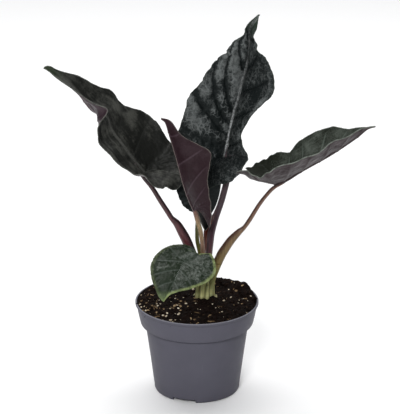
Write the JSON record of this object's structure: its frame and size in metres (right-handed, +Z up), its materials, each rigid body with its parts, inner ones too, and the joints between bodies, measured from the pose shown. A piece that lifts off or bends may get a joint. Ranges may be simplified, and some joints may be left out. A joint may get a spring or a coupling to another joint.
{
  "type": "potted alocasia",
  "caption": "Young alocasia with dark, velvety, quilted spear-shaped leaves on slim sheathed stalks, planted in potting soil in a round tapered nursery pot.",
  "frame": {"origin": "centre of the pot's underside, the face that it rests on", "axes": "+Z up along the pot's axis, -Y towards the plant's front as seen in the picture, +X to the right of that view"},
  "size_m": [0.3094, 0.12, 0.3711],
  "materials": {
    "pot_plastic": "satin",
    "potting_soil": "rough, crumbly",
    "crown_green": "smooth, moist",
    "stalk_purple": "smooth",
    "stalk_rose": "smooth",
    "stalk_tan": "smooth",
    "stalk_green": "smooth",
    "leaf_black": "velvety, quilted",
    "leaf_olive": "velvety, quilted",
    "leaf_maroon": "satin underside",
    "leaf_green": "velvety, quilted",
    "leaf_silver": "silvery sheen"
  },
  "bodies": {
    "root": {"pot": "pot_plastic", "soil": "potting_soil", "crown": "crown_green", "petiole_tall": "stalk_purple", "petiole_left": "stalk_purple", "petiole_rolled": "stalk_rose", "petiole_right": "stalk_tan", "petiole_small": "stalk_green", "new_shoot": "stalk_green", "blade_tall": "leaf_black", "blade_left": "leaf_olive", "blade_rolled": "leaf_maroon", "blade_right": "leaf_green", "blade_small": "leaf_silver"}
  },
  "joints": []
}
